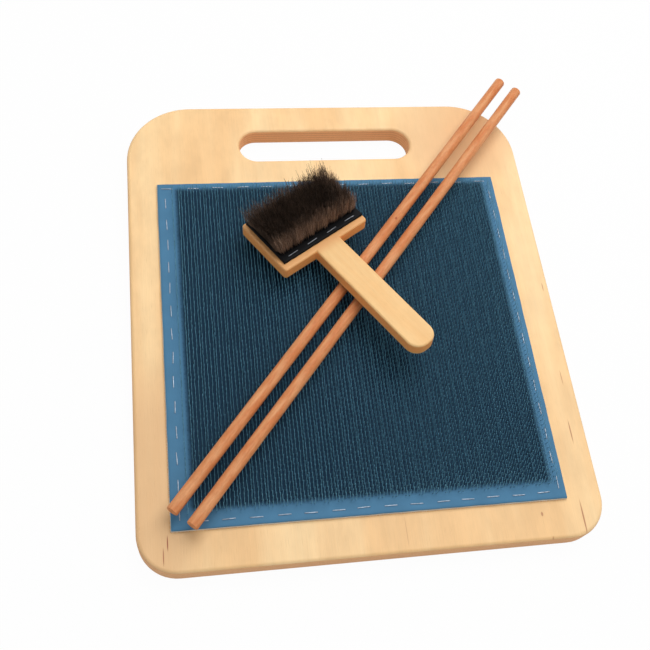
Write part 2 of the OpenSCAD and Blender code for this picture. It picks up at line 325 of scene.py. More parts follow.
def mix(share, first, second, mode="MIX"):
    """Mix two colours. A colour is a value in the tree or three numbers."""
    tree = tree_of(share, first, second)
    inputs = {0: share}
    for number, tone in ((6, first), (7, second)):
        inputs[number] = tone if isinstance(tone, Value) else (*tone, 1)
    return add(tree, "ShaderNodeMix", inputs, 2, data_type="RGBA", blend_type=mode)


def remap(value, low, high, to_low=0.0, to_high=1.0):
    """Turn a value from low to high smoothly into one from to_low to to_high."""
    inputs = {"Value": value, "From Min": low, "From Max": high, "To Min": to_low, "To Max": to_high}
    return add(value.tree, "ShaderNodeMapRange", inputs, interpolation_type="SMOOTHSTEP")


def between(value, low, high, soft):
    """1 where the value lies from low to high, 0 outside, with soft borders inside."""
    return remap(value, low, low + soft) * remap(value, high, high - soft)


def noise(place, size, detail=2.0, roughness=0.5):
    """Noise from 0 to 1, with features of this size in metres, or of these along X, Y and Z."""
    sizes = size if isinstance(size, tuple) else (size, size, size)
    place = vector_calc("MULTIPLY", place, tuple(1 / size for size in sizes))
    inputs = {"Vector": place, "Scale": 1.0, "Detail": detail, "Roughness": roughness}
    return add(place.tree, "ShaderNodeTexNoise", inputs)


def streak(place, x, y, half_width, half_length):
    """1 in the middle of a soft oval, and 0 outside it. The numbers are in millimetres."""
    aside = (place[0] - x * MM) / (half_width * MM)
    along = (place[1] - y * MM) / (half_length * MM)
    return remap(aside ** 2 + along ** 2, 1.0, 0.15)


def tinted(tone, shade):
    """A colour made lighter or darker by a shade round 1."""
    grey = add(shade.tree, "ShaderNodeCombineColor", {0: shade, 1: shade, 2: shade})
    return mix(1.0, tone, grey, "MULTIPLY")


def shaded(tone, share):
    """Three numbers of a colour, made lighter or darker."""
    return tuple(min(1, channel * share) for channel in tone)


class Finish:
    """A material in the making: its tree, its shader and the coordinates that patterns follow."""

    def __init__(self, name, metallic=0.0, specular=0.5, place=None):
        self.material = bpy.data.materials.new(name)
        self.material.use_nodes = True
        self.tree = self.material.node_tree
        self.shader = self.tree.nodes["Principled BSDF"]
        feed(self.tree, self.shader, {"Metallic": metallic, "Specular IOR Level": specular})
        self.place = add(self.tree, "ShaderNodeTexCoord", output="Object")
        if place is not None:
            inputs = {"Vector": self.place, "Location": place.translation, "Rotation": place.to_euler()}
            self.place = add(self.tree, "ShaderNodeMapping", inputs, vector_type="TEXTURE")

    def wear(self, base, roughness, height=None, depth=0.0):
        """Give the shader its colour and roughness, and a bump of this depth in metres."""
        inputs = {"Base Color": base, "Roughness": roughness}
        if height is not None:
            bump = {"Strength": 1.0, "Distance": depth, "Height": height}
            inputs["Normal"] = add(self.tree, "ShaderNodeBump", bump)
        feed(self.tree, self.shader, inputs)
        return self.material


def grained(place, pale, warm, band, fibre, figure, line_share, pore_share):
    """Wood whose grain runs along Y: broad bands, a cloudy figure, fine fibres and short dark pores.
    Returns the colour, the roughness and the height."""
    wide = band / 0.7
    sway = noise(place, (wide, wide * 9, wide), 1.0)
    place = vector_calc("ADD", place, vector(sway * (band * 0.5)))
    bands = noise(place, (band, band * 7, band), 3.0, 0.55)
    lines = noise(place, (fibre * 3, fibre * 150, fibre * 3), 2.0, 0.6)
    fibres = noise(place, (fibre, fibre * 40, fibre), 2.0, 0.6)
    pores = remap(noise(place, (fibre * 0.7, fibre * 14, fibre * 0.7), 0.0), 0.66, 0.8)
    clouds = noise(place, (band * 0.4, band * 0.9, band * 0.4), 3.0, 0.6)
    tone = mix(remap(bands, 0.34, 0.66), pale, warm)
    tone = mix(remap(lines, 0.35, 0.7, 0.0, line_share), tone, warm)
    tone = tinted(tone, fibres * 0.1 + 0.95 + remap(clouds, 0.3, 0.7, -figure, figure))
    tone = mix(pores * pore_share, tone, shaded(warm, 0.7))
    return tone, fibres * 0.16 + 0.42, fibres - pores * 0.8


# Finishes, one function each

def plywood_finish(wood):
    """Plywood: a face veneer, and plies that show where the edge is rounded or cut."""
    veneer_t, ply_t = 1.4 * MM, 1.5 * MM
    # Browner parts, then streaks and small knots: x, y, half width and half length in millimetres,
    # and strength
    browner = ((-170, -146, 52, 118, 0.65), (128, 176, 75, 62, 0.6))
    marks = (
        (160.3, -196, 0.75, 17, 0.7), (167, -126, 0.65, 12, 0.65), (170.6, -78.6, 0.5, 8, 0.5),
        (174.2, 7.5, 0.6, 5, 0.5), (-157.1, -188, 0.55, 7, 0.9), (-160.3, -197.8, 0.5, 8, 0.75),
        (127.6, -190.5, 1.1, 2.2, 0.6), (132.4, -209.4, 0.8, 1.6, 0.4), (19.5, -195, 0.4, 14, 0.3),
    )
    finish = Finish("plywood", specular=0.4)
    tone, rough, height = grained(finish.place, wood.board_pale, wood.board_warm, 46 * MM, 0.8 * MM,
                                  figure=0.055, line_share=0.14, pore_share=0.12)
    place = parts(finish.place)
    for spots, stain in ((browner, wood.board_brown), (marks, wood.mark)):
        for *spot, strength in spots:
            tone = mix(streak(place, *spot) * strength, tone, stain)
    depth = BOARD_TOP - place[2]
    layer = depth / ply_t
    odd = calc("FLOOR", layer) % 2
    glue = remap(abs(calc("FRACT", layer) - 0.5), 0.42, 0.5)
    speckle = noise(finish.place, (0.9 * MM, 0.9 * MM, 0.35 * MM))
    long_ply = tinted(wood.board_ply, speckle * 0.3 + 0.9)
    end_ply = mix(remap(speckle, 0.3, 0.7), wood.board_end, wood.board_ply)
    plies = mix(glue * 0.4, mix(odd, end_ply, long_ply), wood.mark)
    veneer_ends = veneer_t * 0.8, veneer_t * 1.1
    cut = remap(depth, *veneer_ends) * remap(place[2], *veneer_ends)
    tone = mix(cut, tone, plies)
    return finish.wear(tone, rough + cut * 0.2, height + speckle * cut, 0.05 * MM)


def paddle_finish(wood):
    """The brush's wood: pale on its faces, darker round the backing with stain and painted shade from
    the bristles, and warm on its cut edges with painted bounce light.
    """
    finish = Finish("paddle_wood", specular=0.4, place=BRUSH_PLACE)
    tone, rough, height = grained(finish.place, wood.paddle_pale, wood.paddle_warm, 14 * MM, 0.6 * MM,
                                  figure=0.02, line_share=0.4, pore_share=0.2)
    _, along, up = parts(finish.place)
    neck = BACKING_SIZE.y / 2 + 5.6 * MM
    # Stain and painted shade darken the wood round the backing
    on_head = remap(along, neck + 8 * MM, neck - 4 * MM, 0.0, 0.75)
    tone = mix(on_head, tone, wood.paddle_head)
    level = up + (BACKING_SIZE.z + PADDLE_T)
    # The cut edges' warm orange is partly painted bounce light
    cut = between(level, 1.4 * MM, PADDLE_T - 0.6 * MM, 1.4 * MM)
    speckle = noise(finish.place, (3 * MM, 3 * MM, 0.6 * MM), 3.0)
    tone = mix(cut, tone, tinted(wood.paddle_edge, speckle * 0.4 + 0.8))
    return finish.wear(tone, rough, height, 0.05 * MM)


def dowel_finish(node, wood, knot):
    """Round wood with its grain along the dowel, and a knot so many millimetres from its middle."""
    quarter = Matrix.Rotation(math.radians(-90), 4, "Z")
    finish = Finish(f"{node}_wood", specular=0.2, place=dowel_place(node) @ quarter)
    tone, rough, height = grained(finish.place, wood.dowel_pale, wood.dowel_warm, 4 * MM, 0.45 * MM,
                                  figure=0.06, line_share=0.4, pore_share=0.3)
    if knot:
        tone = mix(streak(parts(finish.place), *knot, 1.3, 1.8) * 0.7, tone, wood.mark)
    return finish.wear(tone, rough, height, 0.05 * MM)


def canvas_finish(cloth):
    """Heavy cotton: two sets of threads, each over and under the other."""
    finish = Finish("canvas", specular=0.2)
    pitch = 0.9 * MM
    warp, weft, _ = (calc("SINE", part * (2 * math.pi / pitch)) for part in parts(finish.place))
    weave = warp * weft
    fluff = noise(finish.place, 0.5 * MM, 3.0)
    tone = tinted(cloth.canvas, weave * 0.06 + (fluff * 0.2 + 0.84))
    return finish.wear(tone, 0.9, weave + fluff, 0.15 * MM)


def facing_finish(cloth):
    """Blue rubber with painted shade among the wires, and a small dimple round every wire's foot,
    painted dark inside.
    """
    finish = Finish("facing_rubber", specular=0.1)
    x, y, _ = parts(finish.place)
    first_x, first_y = CLOTH_LOW.x + cloth.left_margin, CLOTH_LOW.y + cloth.front_margin
    last_x = first_x + (cloth.wire_pairs - 1) * cloth.pair_pitch + cloth.row_shift + cloth.crown
    last_y = first_y + (cloth.wire_rows - 1) * cloth.row_gap
    from_first = y - first_y
    row = calc("ROUND", from_first / cloth.row_gap)
    off_row = from_first - row * cloth.row_gap
    start = abs(row % 2) * cloth.row_shift + first_x
    along = calc("FLOORED_MODULO", x - start, cloth.pair_pitch)
    near = calc("MINIMUM", abs(along - cloth.crown), along)
    near = calc("MINIMUM", near, cloth.pair_pitch - along)
    apart = calc("SQRT", near ** 2 + off_row ** 2)
    # Painted shade darkens the rubber where the wires stand and up to 6 mm past the last row
    soft = noise(finish.place, 4 * MM) * (2.5 * MM) + 4.5 * MM
    inside = between(x, first_x, last_x, soft) * between(y, first_y - MM, last_y + 6 * MM, soft)
    dimple = remap(apart, 0.75 * MM, 0.25 * MM) * inside
    cloudy = noise(finish.place, 22 * MM, 3.0)
    grit = noise(finish.place, 0.45 * MM)
    # Painted shade in the dimple round each wire's foot; the dimple's bump itself is real
    dark = (0.004, 0.008, 0.014)
    tone = mix(remap(cloudy, 0.3, 0.7), cloth.facing, shaded(cloth.facing, 1.12))
    # Painted shade among the wires
    tone = mix(inside, tone, cloth.facing_shade)
    tone = mix(dimple * 0.7, tone, dark)
    return finish.wear(tone, grit * 0.15 + 0.55, grit * 0.3 - dimple, 0.12 * MM)


def wire_finish(cloth):
    """Steel wire with a painted blue reflection of the facing, brightest at the ground tips, and
    painted shade near the facing.
    """
    finish = Finish("carding_wire", metallic=0.15, specular=0.15)
    height = parts(finish.place)[2] - CLOTH_HIGH.z
    # Painted shade near the facing; the same darker colour also marks random scuffs
    scuff_and_shade = shaded(cloth.wire, 0.2)
    tone = mix(remap(height, 0.5 * MM, 5 * MM), scuff_and_shade, cloth.wire)
    scuff = noise(finish.place, 6 * MM)
    tone = mix(remap(scuff, 0.35, 0.7, 0.0, 0.4), tone, scuff_and_shade)
    return finish.wear(tone, remap(scuff, 0.3, 0.7, 0.36, 0.5))


def staple_finish(name, metal):
    """Bright flat wire with fine scratches along it."""
    finish = Finish(name, metallic=1.0)
    scuff = noise(finish.place, 1.6 * MM, 3.0)
    tone = mix(remap(scuff, 0.35, 0.75), metal, shaded(metal, 0.75))
    return finish.wear(tone, remap(scuff, 0.3, 0.7, 0.5, 0.65), scuff, 0.03 * MM)


def backing_finish(brush):
    """Matte black rubber with a little dust."""
    finish = Finish("backing_rubber", specular=0.15, place=BRUSH_PLACE)
    grit = noise(finish.place, 0.6 * MM, 3.0)
    dust = noise(finish.place, 5 * MM, 3.0)
    tone = mix(remap(dust, 0.45, 0.75, 0.0, 0.4), brush.backing, shaded(brush.backing, 2.2))
    return finish.wear(tone, grit * 0.2 + 0.6, grit, 0.1 * MM)


def bristle_finish(brush):
    """Stiff brown fibre with painted shade: dark at the foot and, away from the painted light on the
    block's outer faces, at the tip. No two are alike.
    """
    finish = Finish("bristle", specular=0.4)
    along, tint, worn = (add(finish.tree, "ShaderNodeAttribute", output="Fac", attribute_name=name)
                         for name in ("along", "tint", "worn"))
    # Painted shade at the foot and tip; the paler shaft is painted light on the block's outer faces
    brown_share = remap(along, 0.06, 0.32) * (worn * 0.7 + 0.3)
    dark_share = remap(along, 0.45, 0.95) * (1.0 - worn * 0.85)
    tone = mix(brown_share, brush.root, brush.shaft)
    tone = mix(dark_share, tone, brush.tip)
    tone = tinted(tone, remap(tint, 0.2, 0.8, 1.5, 0.4))
    return finish.wear(tone, tint * 0.15 + 0.45)


# Trees that grow what repeats

def grown_tree(name, counts, sizes, vectors=""):
    """A geometry tree with these inputs and the four that all trees have, and their values in it."""
    tree = bpy.data.node_groups.new(name, "GeometryNodeTree")
    kinds = (("Int", f"{counts} seed"), ("Float", sizes), ("Vector", f"{vectors} place turn"),
             ("Material", "material"))
    for kind, keys in kinds:
        for key in keys.split():
            label = key.replace("_", " ").title()
            tree.interface.new_socket(name=label, in_out="INPUT", socket_type=f"NodeSocket{kind}")
    tree.interface.new_socket(name="Geometry", in_out="OUTPUT", socket_type="NodeSocketGeometry")
    sockets = tree.nodes.new("NodeGroupInput").outputs
    given = {key_of(socket.name): Value(tree, socket) for socket in sockets if socket.name}
    return tree, SimpleNamespace(**given)


def key_of(label):
    return label.replace(" ", "_").lower()


def close_tree(geometry, given):
    """End the tree with real meshes in their place and material."""
    tree = geometry.tree
    placed = grow(tree, "Transform", Geometry=geometry, Translation=given.place, Rotation=given.turn)
    real = grow(tree, "RealizeInstances", Geometry=placed)
    painted = grow(tree, "SetMaterial", Geometry=real, Material=given.material)
    feed(tree, tree.nodes.new("NodeGroupOutput"), {0: painted})
    return tree


def grow(tree, kind, **inputs):
    """Add a geometry node. Words in small letters are properties, and all others are inputs."""
    settings = {key: value for key, value in inputs.items() if key.islower()}
    inputs = {key.replace("_", " "): value for key, value in inputs.items() if not key.islower()}
    return add(tree, f"GeometryNode{kind}", inputs, **settings)


def chance(tree, low, high, seed, owner=None):
    """A random number or vector from low to high, one for each point or one for each owner."""
    first, output, kind = (0, 0, "FLOAT_VECTOR") if isinstance(low, tuple) else (2, 1, "FLOAT")
    inputs = {first: low, first + 1: high, "Seed": seed}
    if owner is not None:
        inputs["ID"] = owner
    return add(tree, "FunctionNodeRandomValue", inputs, output, data_type=kind)


def straight(tree, start, end, count):
    """A straight path with so many points."""
    line = grow(tree, "CurvePrimitiveLine", Start=start, End=end)
    return grow(tree, "ResampleCurve", Curve=line, Count=count)


def ring(sides, width):
    """The outline of a round rod, with so many sides."""
    return grow(width.tree, "CurvePrimitiveCircle", Resolution=sides, Radius=width * 0.5)


def swept(path, outline, taper=None):
    """A closed rod along a path."""
    if taper is not None:
        path = grow(path.tree, "SetCurveRadius", Curve=path, Radius=taper)
    return grow(path.tree, "CurveToMesh", Curve=path, Profile_Curve=outline, Fill_Caps=True)


def planted(points, piece, turn, scale=(1.0, 1.0, 1.0)):
    """A copy of the piece on every point."""
    return grow(points.tree, "InstanceOnPoints", Points=points, Instance=piece, Rotation=turn,
                Scale=scale)


def stored(geometry, name, value, domain):
    """The geometry, with a value kept on it under this name."""
    return grow(geometry.tree, "StoreNamedAttribute", Geometry=geometry, Name=name, Value=value,
                data_type="FLOAT", domain=domain)


def along_row(tree, given):
    """Where each point of a row lies along X, with the row's middle at 0."""
    share = (grow(tree, "InputIndex") + 0.5) / given.count
    return (share - 0.5) * given.row_length


def wire_tree():
    """Rows of two-legged wires. Each leg rises, leans to the front up to its knee and then back."""
    tree, given = grown_tree(
        "Carding wires", "wire_rows wire_pairs", "row_gap pair_pitch crown row_shift wire_width "
        "tip_height knee_height knee_set tip_set")
    index = grow(tree, "InputIndex")
    in_row = given.wire_pairs * 2
    row = calc("FLOOR", index / in_row)
    spot = index % in_row
    x = calc("FLOOR", spot / 2) * given.pair_pitch
    x = x + (spot % 2) * given.crown + (row % 2) * given.row_shift
    stray = 0.16 * MM
    jitter = chance(tree, (-stray, -stray, 0), (stray, stray, 0), given.seed)
    place = vector_calc("ADD", vector(x, row * given.row_gap), jitter)
    feet = grow(tree, "Points", Count=given.wire_rows * in_row, Position=place)

    path = straight(tree, (0, 0, 0), vector(0.0, given.tip_set, given.tip_height), 3)
    knee = vector(0.0, given.knee_set * -1, given.knee_height)
    is_knee = add(tree, "FunctionNodeCompare", {"A": index, "B": 1.0}, operation="EQUAL")
    bent = grow(tree, "SetPosition", Geometry=path, Selection=is_knee, Position=knee)
    step = grow(tree, "SplineParameter")
    wire = swept(bent, ring(4, given.wire_width), step ** 4 * -0.35 + 1.0)

    lean = math.radians(1.6)
    turn = chance(tree, (-lean, -lean, -0.12), (lean, lean, 0.12), given.seed + 1)
    tall = chance(tree, (1, 1, 0.97), (1, 1, 1), given.seed + 2)
    return close_tree(planted(feet, wire, turn, tall), given)


def staple_tree():
    """A row of staples along X, each a little out of line."""
    tree, given = grown_tree("Row of staples", "count", "row_length width wire thickness leg sway slip")
    slip = chance(tree, given.slip * -1, given.slip, given.seed)
    aside = chance(tree, given.slip * -0.5, given.slip * 0.5, given.seed + 1)
    place = vector(along_row(tree, given) + slip, aside)
    spots = grow(tree, "Points", Count=given.count, Position=place)

    path = straight(tree, (0, 0, 0), (1, 0, 0), 4)
    side = grow(tree, "InputIndex") - 1.5
    corner_x = calc("SIGN", side) * ((given.width - given.thickness) * 0.5)
    is_foot = calc("GREATER_THAN", abs(side), 1.0)
    corner_z = given.thickness * 0.5 - is_foot * given.leg
    bent = grow(tree, "SetPosition", Geometry=path, Position=vector(corner_x, 0.0, corner_z))
    bent = grow(tree, "FilletCurve", Curve=bent, Radius=given.thickness, Count=3, mode="POLY")
    flat = grow(tree, "CurvePrimitiveQuadrilateral", Width=given.thickness, Height=given.wire)
    flat = grow(tree, "FilletCurve", Curve=flat, Radius=given.thickness * 0.25, Count=1, mode="POLY")
    sway = chance(tree, given.sway * -1, given.sway, given.seed + 2)
    return close_tree(planted(spots, swept(bent, flat), vector(0.0, 0.0, sway)), given)


def thread_tree():
    """Cut thread ends along X, pointing to the front."""
    tree, given = grown_tree("Cut threads", "count", "row_length height reach width")
    layer = grow(tree, "InputIndex") % 3
    place = vector(along_row(tree, given), 0.0, (layer * 0.3 + 0.2) * given.height)
    spots = grow(tree, "Points", Count=given.count, Position=place)
    thread = swept(straight(tree, (0, 1, 0), (0, -1, 0), 2), ring(4, given.width))
    long = vector(1.0, chance(tree, 0.3, 1.0, given.seed) * given.reach, 1.0)
    turn = chance(tree, (-0.1, 0, -0.35), (0.05, 0, 0.35), given.seed + 1)
    return close_tree(planted(spots, thread, turn, long), given)


def bristle_tree():
    """Tufts of bristles round the origin. The tufts lean out, and so do the bristles of each, which
    bend a little and differ in length. The longest at the far edge reach and lean out further."""
    tree, given = grown_tree(
        "Bristles", "columns rows strands", "field_width field_length height spread fray width bend",
        "splay lean")
    tuft_seed, tuft_tint_seed = 5, 9
    tuft = calc("FLOOR", grow(tree, "InputIndex") / given.strands)
    stray = parts(chance(tree, (-0.5, -0.5, 0), (0.5, 0.5, 1), tuft_seed, tuft))
    angle, far, short = parts(chance(tree, (0, 0, 0), (2 * math.pi, 1, 1), given.seed + 1))

    def spot(number, count, aside):
        """From -1 at one side of the field to 1 at the other."""
        return (aside * 0.5 + number) / (count - 1) * 2.0 - 1.0

    across = spot(tuft % given.columns, given.columns, stray[0])
    along = spot(calc("FLOOR", tuft / given.columns), given.rows, stray[1])
    from_middle = calc("SQRT", far) * given.spread
    aside_x, aside_y = (calc(wave, angle) * from_middle for wave in ("COSINE", "SINE"))
    place = vector(aside_x + across * (given.field_width * 0.5 - given.spread),
                   aside_y + along * (given.field_length * 0.5 - given.spread))
    roots = grow(tree, "Points", Count=given.columns * given.rows * given.strands, Position=place)

    far_edge = remap(along, -0.4, -1.0)
    ends = remap(across, 0.5, 1.0) - remap(across, -0.5, -1.0, 0.0, 0.4)
    long_share = 1.0 - calc("SQRT", short)
    fray = long_share * given.fray
    lean, splay, wander = parts(given.lean), parts(given.splay), 1.6 * MM
    out_x = across * splay[0] + lean[0] + stray[1] * wander + ends * fray + aside_x * 0.7
    out_y = along * splay[1] + lean[1] + stray[0] * wander - far_edge * fray + aside_y * 0.7
    loss = short ** 0.42 * (far_edge * 0.22 + 0.4)
    lift = 1.0 - stray[2] * 0.05 - loss + far_edge * long_share * 0.12
    out = vector(out_x, out_y, lift * given.height)
    length = vector_calc("LENGTH", out, output="Value")
    turn = add(tree, "FunctionNodeAlignRotationToVector", {"Vector": out}, axis="Z")
    spin = chance(tree, (0, 0, 0), (0, 0, 2 * math.pi), given.seed + 2)
    turn = add(tree, "FunctionNodeRotateRotation", {"Rotation": turn, "Rotate By": spin},
               rotation_space="LOCAL")

    step = grow(tree, "SplineParameter")
    path = stored(straight(tree, (0, 0, 0), (0, 0, 1), 3), "along", step, "POINT")
    bow = vector(calc("SINE", step * math.pi) * given.bend)
    bent = grow(tree, "SetPosition", Geometry=path, Offset=bow)
    bristle = swept(bent, ring(3, given.width), 1.0 - step * 0.7)

    tint = chance(tree, 0.0, 1.0, given.seed + 3)
    tint = chance(tree, 0.0, 1.0, tuft_tint_seed, tuft) * 0.35 + tint * 0.65
    # Painted light on the block's outer faces, near both long sides and one end; the middle keeps
    # painted shade
    worn = calc("MAXIMUM", remap(along, -0.5, -1.0, 0.0, 0.6), remap(across, -0.6, -1.0, 0.0, 0.7))
    worn = calc("MAXIMUM", worn, remap(along, 0.3, 1.0))
    field = planted(roots, bristle, turn, vector(1.0, 1.0, length))
    field = stored(field, "tint", tint, "INSTANCE")
    return close_tree(stored(field, "worn", worn, "INSTANCE"), given)


# Short ways to make pieces

def shown(name, data):
    """A new object in the scene."""
    thing = bpy.data.objects.new(name, data)
    bpy.context.collection.objects.link(thing)
    return thing


def repainted(thing, finish):
    thing.data.materials.clear()
    thing.data.materials.append(finish)


def seated(piece, body, slot, *nodes):
    """Let a piece ride on its body in place of these nodes."""
    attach(piece, body)
    if nodes:
        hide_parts(*nodes)
    return piece


def grown(name, tree, settings, place, **values):
    """A plain mesh object made by a geometry tree at this place. An input without a value here has
    that of the setting of the same name."""
    piece = shown(name, bpy.data.meshes.new(name))
    modifier = piece.modifiers.new(name, "NODES")
    modifier.node_group = tree
    values.update(place=place.translation, turn=place.to_euler())
    for item in tree.interface.items_tree:
        if item.in_out == "INPUT":
            key = key_of(item.name)
            modifier[item.identifier] = values[key] if key in values else getattr(settings, key)
    depsgraph = bpy.context.evaluated_depsgraph_get()
    made = piece.evaluated_get(depsgraph)
    mesh = bpy.data.meshes.new_from_object(made, preserve_all_data_layers=True, depsgraph=depsgraph)
    piece.modifiers.clear()
    piece.data = mesh
    mesh.name = name
    if not mesh.polygons:
        raise RuntimeError(f"{name} came out empty")
    return piece


def waves(seed, span):
    """A slow, irregular wave from 0 to 1 along an edge of this length."""
    random = np.random.default_rng(seed)
    terms = [(random.uniform(2, 14), random.uniform(0, 2 * math.pi)) for _ in range(5)]

    def wave(place):
        total = sum(np.sin(2 * math.pi * turns * place / span + start) for turns, start in terms)
        return 0.5 + 0.5 * total / len(terms)
    return wave


def slab(name, size, place, step, rim, ragged, seed, top=None):
    """A closed sheet of rubber or cloth: its top follows top(x, y), its rim is rounded, and its
    cut edges wander in by up to ragged. The origin of place is in the middle of its underside."""
    width, length, thickness = size

    def lines(span):
        count = max(2, round((span - 2 * rim) / step))
        inner = np.linspace(rim - span / 2, span / 2 - rim, count + 1)
        return np.concatenate([[-span / 2], inner, [span / 2]])

    x, y = np.meshgrid(lines(width), lines(length))
    edge_x, edge_y = waves(seed, length), waves(seed + 1, width)
    for side, inward in ((0, 1), (1, 1), (-2, -1), (-1, -1)):
        x[:, side] += inward * ragged * edge_x(y[:, side])
        y[side, :] += inward * ragged * edge_y(x[side, :])
    z = np.full_like(x, thickness)
    if top is not None:
        z += top(x, y)
    for border in (np.s_[0, :], np.s_[-1, :], np.s_[:, 0], np.s_[:, -1]):
        z[border] = np.minimum(z[border], thickness - rim)
    upper = np.stack([x, y, z], axis=-1).reshape(-1, 3)
    lower = np.stack([x, y, np.zeros_like(x)], axis=-1).reshape(-1, 3)
    points = [place @ Vector(point) for point in np.concatenate([upper, lower])]
    below = x.size
    number = np.arange(below).reshape(x.shape)
    a, b, c, d = number[:-1, :-1], number[:-1, 1:], number[1:, 1:], number[1:, :-1]
    faces = np.stack([a, b, c, d], axis=-1).reshape(-1, 4).tolist()
    faces += (np.stack([d, c, b, a], axis=-1).reshape(-1, 4) + below).tolist()
    rim_loop = [*number[0, :-1], *number[:-1, -1], *number[-1, :0:-1], *number[:0:-1, 0]]
    for first, second in zip(rim_loop, rim_loop[1:] + rim_loop[:1]):
        faces.append([int(first) + below, int(second) + below, int(second), int(first)])
    mesh = bpy.data.meshes.new(name)
    mesh.from_pydata(points, [], faces)
    mesh.update()
    mesh.shade_smooth()
    mesh.set_sharp_from_angle(angle=math.radians(50))
    return shown(name, mesh)


EDGES = ("front", "right", "back", "left")


def edge_row(number, staples):
    """The place of an edge's row of staples, and the row's length with its bare ends."""
    low, high = box(f"staples_{EDGES[number]}")
    place = moved((*((low + high) / 2).xy, CLOTH_HIGH.z))
    pitch = (max(high.x - low.x, high.y - low.y) - staples.width) / (staples.per_edge - 1)
    return place @ Matrix.Rotation(number * math.pi / 2, 4, "Z"), pitch * staples.per_edge


def staple_spots(staples):
    """Middle and quarter turn of every cloth staple."""
    for turn in range(len(EDGES)):
        place, length = edge_row(turn, staples)
        for number in range(staples.per_edge):
            yield place @ Vector((length * ((number + 0.5) / staples.per_edge - 0.5), 0, 0)), turn


# One operator for each piece or group of like pieces

class BOARD_OT_plywood(Operator):
    """Give the board its plywood finish"""
    bl_idname = "board.plywood"
    bl_label = "Finish the Board"

    def execute(self, context):
        repainted(frame["nodes"]["board"], plywood_finish(context.scene.board.wood))
        return {"FINISHED"}


class BOARD_OT_cloth(Operator):
    """Lay the card cloth's canvas and its rubber facing on the board"""
    bl_idname = "board.cloth"
    bl_label = "Lay the Card Cloth"

    def execute(self, context):
        settings = context.scene.board
        cloth = settings.cloth
        spots = [(spot - CLOTH_MIDDLE, turn) for spot, turn in staple_spots(settings.staples)]
        dip, reach_across, reach_along = 0.3 * MM, 2.2 * MM, 6.5 * MM

        def pressed(x, y):
            """How far the facing gives way under each staple's crown."""
            depth = np.zeros_like(x)
            for spot, turn in spots:
                along, across = (x - spot.x, y - spot.y) if turn % 2 == 0 else (y - spot.y, x - spot.x)
                depth -= dip * np.exp(-(across / reach_across) ** 2 - (along / reach_along) ** 4)
            return depth

        canvas_place, facing_place = (moved((*CLOTH_MIDDLE.xy, low.z))
                                      for low in (CANVAS_LOW, CLOTH_LOW))
        canvas = slab("canvas_sheet", (CLOTH_W, CLOTH_L, CANVAS_T), canvas_place,
                      step=3.2 * MM, rim=0.25 * MM, ragged=0.3 * MM, seed=11)
        trim = 0.4 * MM
        facing = slab("facing_sheet", (CLOTH_W - trim, CLOTH_L - trim, FACING_T), facing_place,
                      step=2.4 * MM, rim=0.3 * MM, ragged=0.4 * MM, seed=12, top=pressed)
        woven = canvas_finish(cloth)
        repainted(canvas, woven)
        repainted(facing, facing_finish(cloth))
        seated(canvas, "board", "canvas", "canvas_foundation")
        seated(facing, "board", "facing_rubber", "rubber_facing")
        tree = thread_tree()
        for number, edge in enumerate(EDGES):
            across, along = (CLOTH_L, CLOTH_W) if number % 2 == 0 else (CLOTH_W, CLOTH_L)
            place = canvas_place @ Matrix.Rotation(number * math.pi / 2, 4, "Z")
            place = place @ moved((0, 0.4 * MM - across / 2, 0))
            row = grown(
                f"canvas_threads_{edge}", tree, cloth, place, count=cloth.threads,
                row_length=along - 2 * MM, height=CANVAS_T, reach=0.9 * MM, width=0.35 * MM,
                seed=40 + number, material=woven)
            seated(row, "board", "canvas")
        return {"FINISHED"}


class BOARD_OT_wires(Operator):
    """Set the carding wires into the facing"""
    bl_idname = "board.wires"
    bl_label = "Set the Carding Wires"

    def execute(self, context):
        cloth = context.scene.board.cloth
        foot_depth = 0.4 * MM
        first_leg = (CLOTH_LOW.x + cloth.left_margin, CLOTH_LOW.y + cloth.front_margin,
                     CLOTH_HIGH.z - foot_depth)
        wires = grown(
            "wires", wire_tree(), cloth, moved(first_leg),
            tip_height=cloth.tip_height + foot_depth, knee_height=cloth.knee_height + foot_depth,
            seed=3, material=wire_finish(cloth))
        seated(wires, "board", "carding_wire", "carding_wires")
        return {"FINISHED"}


class BOARD_OT_cloth_staples(Operator):
    """Drive a row of staples along each edge of the cloth"""
    bl_idname = "board.cloth_staples"
    bl_label = "Staple the Cloth"

    def execute(self, context):
        staples = context.scene.board.staples
        metal = staple_finish("staple_wire", staples.metal)
        tree = staple_tree()
        sunk = moved((0, 0, -0.3 * MM))
        for number, edge in enumerate(EDGES):
            place, length = edge_row(number, staples)
            row = grown(
                f"cloth_staples_{edge}", tree, staples, place @ sunk, count=staples.per_edge,
                row_length=length, sway=0.05, slip=0.8 * MM, seed=20 + number, material=metal)
            seated(row, "board", "staple_wire", f"staples_{edge}")
        return {"FINISHED"}


class BOARD_OT_dowels(Operator):
    """Give both dowels their wood"""
    bl_idname = "board.dowels"
    bl_label = "Finish the Dowels"

    def execute(self, context):
        wood = context.scene.board.wood
        for node, knot in (("dowel_left", (1.0, 56.0)), ("dowel_right", None)):
            repainted(frame["nodes"][node], dowel_finish(node, wood, knot))
        return {"FINISHED"}


class BOARD_OT_paddle(Operator):
    """Give the brush's paddle its wood"""
    bl_idname = "board.paddle"
    bl_label = "Finish the Paddle"

    def execute(self, context):
        repainted(frame["nodes"]["brush_paddle"], paddle_finish(context.scene.board.wood))
        return {"FINISHED"}


class BOARD_OT_backing(Operator):
    """Lay the rubber pad that holds the bristles"""
    bl_idname = "board.backing"
    bl_label = "Lay the Backing"

    def execute(self, context):
        place = BRUSH_PLACE @ moved((0, 0, -BACKING_SIZE.z))
        pad = slab("backing_pad", BACKING_SIZE, place,
                   step=1.6 * MM, rim=0.4 * MM, ragged=0.3 * MM, seed=31)
        repainted(pad, backing_finish(context.scene.board.brush))
        seated(pad, "brush", "backing_rubber", "brush_backing")
        return {"FINISHED"}


